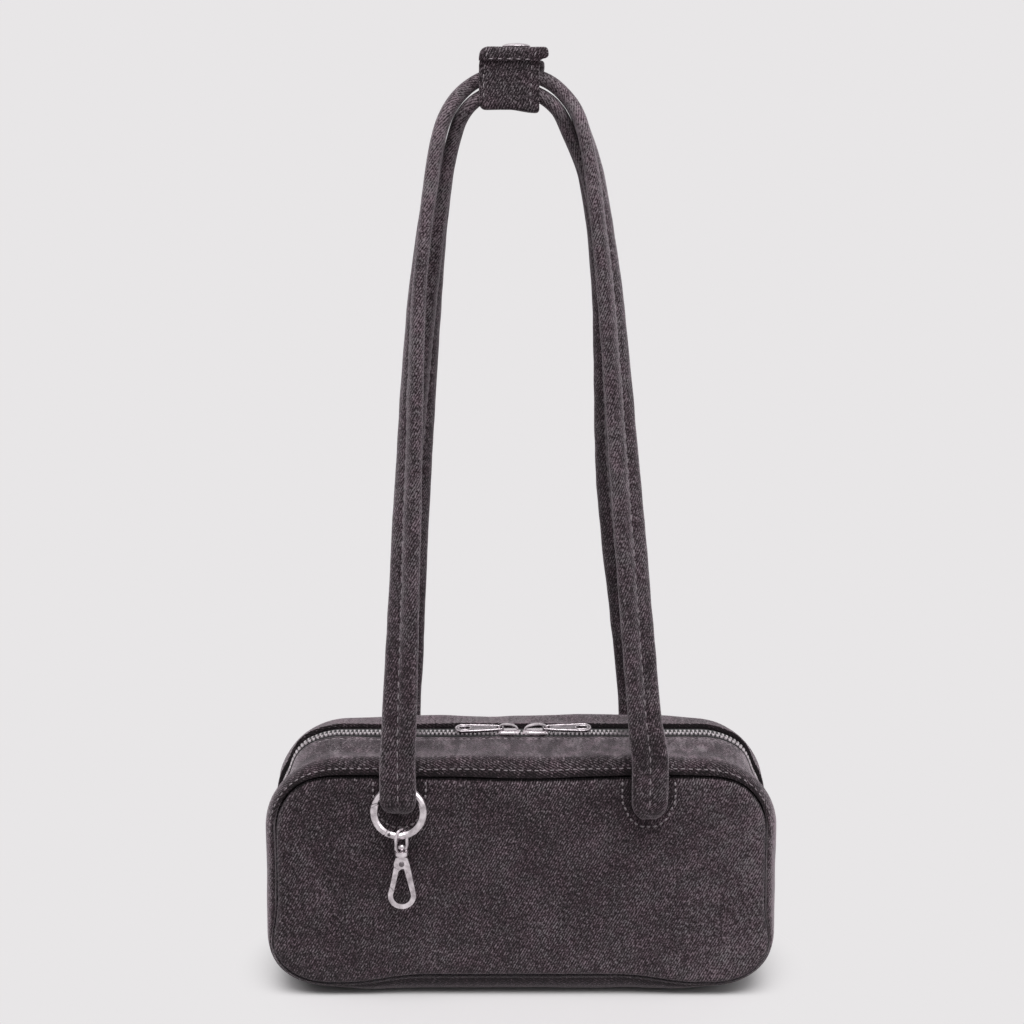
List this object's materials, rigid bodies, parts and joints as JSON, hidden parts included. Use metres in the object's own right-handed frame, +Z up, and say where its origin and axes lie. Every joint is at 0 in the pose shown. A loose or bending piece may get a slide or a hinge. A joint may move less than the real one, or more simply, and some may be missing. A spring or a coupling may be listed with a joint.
{
  "type": "bowler bag",
  "caption": "Small padded denim bowler bag with a two-way zip, long double strap handles joined by a snapped keeper, and a gate ring that carries a swivel hook.",
  "frame": {"origin": "middle of the flat base, on the surface that the bag stands on", "axes": "+X to the right of someone facing the front, -Y out of the front with the ring, +Z up"},
  "size_m": [0.2812, 0.1246, 0.5198],
  "materials": {
    "denim": "washed charcoal denim twill",
    "twill_lining": "dark cotton twill",
    "stiff_board": "matt fibreboard",
    "zip_tape": "woven black tape",
    "zip_metal": "polished zip metal",
    "satin_metal": "satin nickel"
  },
  "bodies": {
    "bag": {"front_panel": "denim", "rear_panel": "denim", "bottom_gusset": "denim", "front_zip_panel": "denim", "rear_zip_panel": "denim", "lining": "twill_lining", "base_board": "stiff_board", "front_handle_stay": "twill_lining", "rear_handle_stay": "twill_lining", "front_zip_tape": "zip_tape", "rear_zip_tape": "zip_tape", "front_zip_teeth": "zip_metal", "rear_zip_teeth": "zip_metal", "zip_stop_left": "zip_metal", "zip_stop_right": "zip_metal", "front_left_strap_end": "denim", "front_right_strap_end": "denim", "rear_left_strap_end": "denim", "rear_right_strap_end": "denim", "front_left_strap_flex": "denim", "front_right_strap_flex": "denim", "rear_left_strap_flex": "denim", "rear_right_strap_flex": "denim"},
    "handle": {"front_strap": "denim", "rear_strap": "denim", "keeper_band": "denim", "snap_stud": "satin_metal"},
    "flap": {"keeper_flap": "denim", "snap_socket": "satin_metal", "snap_cap": "satin_metal"},
    "left_slider": {"slider_left": "satin_metal", "slider_left_underside": "satin_metal"},
    "right_slider": {"slider_right": "satin_metal", "slider_right_underside": "satin_metal"},
    "left_pull": {"pull_left": "satin_metal"},
    "right_pull": {"pull_right": "satin_metal"},
    "ring": {"gate_ring": "satin_metal", "ring_pin": "satin_metal"},
    "ring_closer": {"ring_gate": "satin_metal"},
    "eye": {"swivel_eye": "satin_metal"},
    "hook": {"hook_body": "satin_metal", "hook_rivet": "satin_metal", "swivel_post": "satin_metal"},
    "hook_closer": {"hook_gate": "satin_metal"}
  },
  "joints": [
    {"name": "handle_sway", "type": "hinge", "parent": "bag", "child": "handle", "pos_m": [0, 0, 0.15], "axis": [1, 0, 0], "range_deg": [-8, 8], "stiffness_Nm_per_rad": 1, "deforming": ["front_left_strap_flex", "front_right_strap_flex", "rear_left_strap_flex", "rear_right_strap_flex"]},
    {"name": "flap_hinge", "type": "hinge", "parent": "handle", "child": "flap", "pos_m": [-0.0017, 0.0118, 0.5112], "axis": [-1, 0, 0], "range_deg": [0, 150]},
    {"name": "left_slider_slide", "type": "slide", "parent": "bag", "child": "left_slider", "axis": [-1, 0, 0], "range_m": [0, 0.085]},
    {"name": "right_slider_slide", "type": "slide", "parent": "bag", "child": "right_slider", "axis": [1, 0, 0], "range_m": [0, 0.085]},
    {"name": "left_pull_hinge", "type": "hinge", "parent": "left_slider", "child": "left_pull", "pos_m": [-0.0081, 0.0025, 0.13892], "axis": [0, 1, 0], "range_deg": [0, 95]},
    {"name": "right_pull_hinge", "type": "hinge", "parent": "right_slider", "child": "right_pull", "pos_m": [0.0107, 0.0025, 0.13892], "axis": [0, -1, 0], "range_deg": [0, 95]},
    {"name": "ring_swing", "type": "hinge", "parent": "bag", "child": "ring", "pos_m": [-0.0665, -0.0551, 0.1242], "axis": [-1, 0, 0], "range_deg": [0, 11]},
    {"name": "ring_gate_hinge", "type": "hinge", "parent": "ring", "child": "ring_closer", "pos_m": [-0.07174, -0.0551, 0.09846], "axis": [0, 1, 0], "range_deg": [0, 8], "stiffness_Nm_per_rad": 0.02, "springref_deg": -5.73},
    {"name": "eye_swing", "type": "hinge", "parent": "ring", "child": "eye", "pos_m": [-0.0651, -0.0551, 0.0974], "axis": [-1, 0, 0], "range_deg": [0, 50]},
    {"name": "hook_swivel", "type": "hinge", "parent": "eye", "child": "hook", "pos_m": [-0.0651, -0.0551, 0.0853], "axis": [0, 0, 1], "continuous": true},
    {"name": "hook_gate_hinge", "type": "hinge", "parent": "hook", "child": "hook_closer", "pos_m": [-0.0651, -0.0551, 0.0814], "axis": [0, -1, 0], "range_deg": [0, 18], "stiffness_Nm_per_rad": 0.01, "springref_deg": -5.73}
  ]
}
